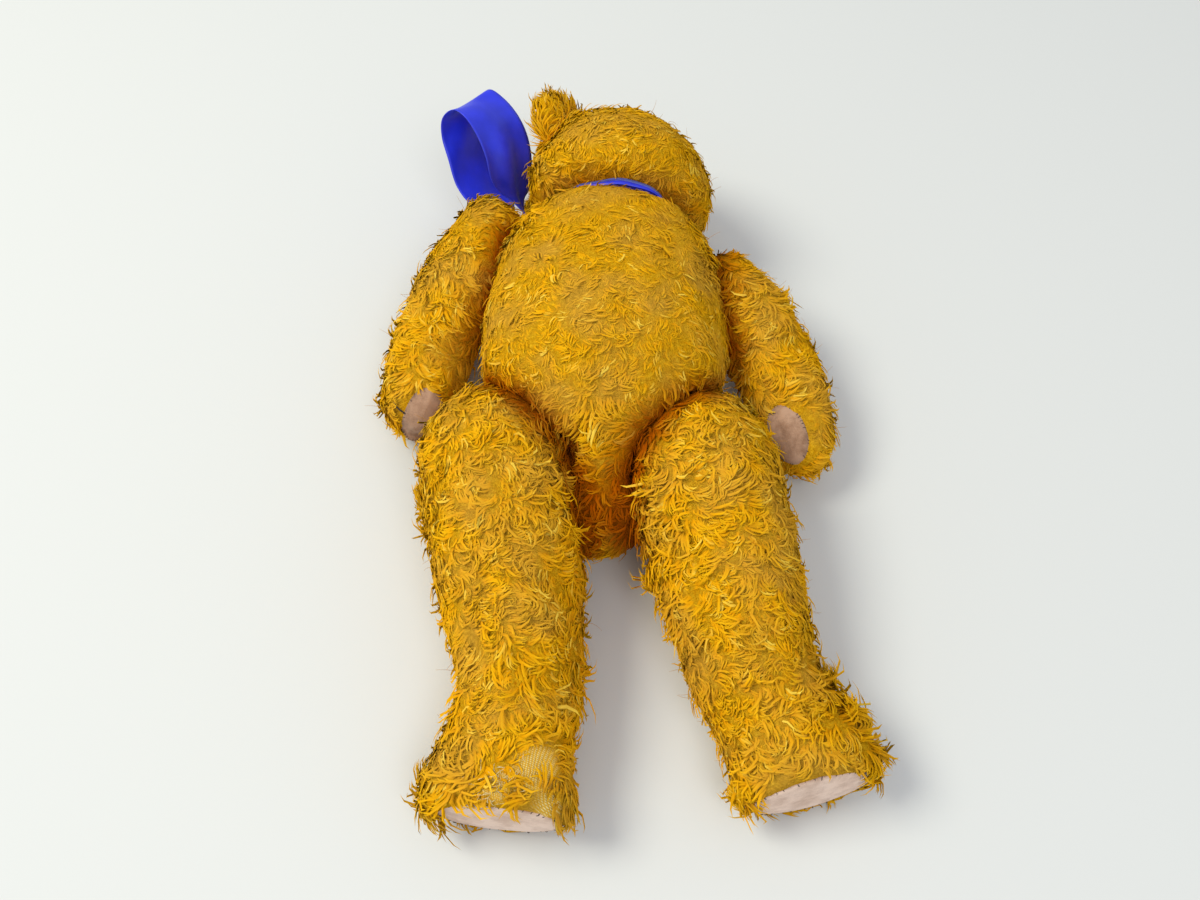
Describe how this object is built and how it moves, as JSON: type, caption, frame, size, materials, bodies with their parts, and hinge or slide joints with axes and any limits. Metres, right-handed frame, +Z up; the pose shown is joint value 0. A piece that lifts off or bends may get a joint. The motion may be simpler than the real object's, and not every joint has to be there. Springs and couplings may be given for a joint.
{
  "type": "jointed teddy bear",
  "caption": "Old golden plush teddy bear lying face down, with turning head and limbs, felt pads, worn pile and a satin neck bow.",
  "frame": {"origin": "under the middle of the bear, on the surface it lies on", "axes": "+Z up, +Y from the feet to the head, so the bear lies face down with its left side towards -X"},
  "size_m": [0.267, 0.434, 0.1126],
  "materials": {
    "mohair": "matted curly pile",
    "wood_wool": "packed fibre",
    "felt": "worn felt",
    "eye_glass": "polished",
    "floss": "stitched",
    "satin": "satin weave",
    "hardboard": "pressed board",
    "steel": "plain wire and washers"
  },
  "bodies": {
    "torso": {"torso_cover": "mohair", "torso_stuffing": "wood_wool", "neck_torso_disc": "hardboard", "neck_torso_washer": "steel", "neck_split_pin": "steel", "left_shoulder_torso_disc": "hardboard", "left_shoulder_torso_washer": "steel", "left_shoulder_split_pin": "steel", "right_shoulder_torso_disc": "hardboard", "right_shoulder_torso_washer": "steel", "right_shoulder_split_pin": "steel", "left_hip_torso_disc": "hardboard", "left_hip_torso_washer": "steel", "left_hip_split_pin": "steel", "right_hip_torso_disc": "hardboard", "right_hip_torso_washer": "steel", "right_hip_split_pin": "steel"},
    "head": {"head_cover": "mohair", "head_stuffing": "wood_wool", "left_ear": "mohair", "right_ear": "mohair", "left_eye": "eye_glass", "right_eye": "eye_glass", "nose_stitching": "floss", "mouth_stitching": "floss", "neck_ribbon": "satin", "neck_limb_disc": "hardboard", "neck_limb_washer": "steel"},
    "left_arm": {"left_arm_cover": "mohair", "left_arm_stuffing": "wood_wool", "left_paw_pad": "felt", "left_shoulder_limb_disc": "hardboard", "left_shoulder_limb_washer": "steel"},
    "left_leg": {"left_leg_cover": "mohair", "left_leg_stuffing": "wood_wool", "left_foot_pad": "felt", "left_hip_limb_disc": "hardboard", "left_hip_limb_washer": "steel"},
    "right_arm": {"right_arm_cover": "mohair", "right_arm_stuffing": "wood_wool", "right_paw_pad": "felt", "right_shoulder_limb_disc": "hardboard", "right_shoulder_limb_washer": "steel"},
    "right_leg": {"right_leg_cover": "mohair", "right_leg_stuffing": "wood_wool", "right_foot_pad": "felt", "right_hip_limb_disc": "hardboard", "right_hip_limb_washer": "steel"}
  },
  "joints": [
    {"name": "neck", "type": "hinge", "parent": "torso", "child": "head", "pos_m": [0.00436, 0.1331, 0.057], "axis": [0.12, 0.9928, 0], "continuous": true, "deforming": ["neck_ribbon"]},
    {"name": "left_shoulder", "type": "hinge", "parent": "torso", "child": "left_arm", "pos_m": [-0.05804, 0.1113, 0.049], "axis": [-0.9429, 0.333, 0], "range_deg": [-100, 135]},
    {"name": "right_shoulder", "type": "hinge", "parent": "torso", "child": "right_arm", "pos_m": [0.06186, 0.0861, 0.05], "axis": [0.9928, 0.1201, 0], "range_deg": [-180, 165]},
    {"name": "left_hip", "type": "hinge", "parent": "torso", "child": "left_leg", "pos_m": [-0.03025, -0.0189, 0.03147], "axis": [-0.9276, -0.1667, 0.3342], "range_deg": [-90, 10]},
    {"name": "right_hip", "type": "hinge", "parent": "torso", "child": "right_leg", "pos_m": [0.01618, -0.03423, 0.03058], "axis": [0.9216, 0.1482, 0.3588], "range_deg": [-10, 60]}
  ]
}
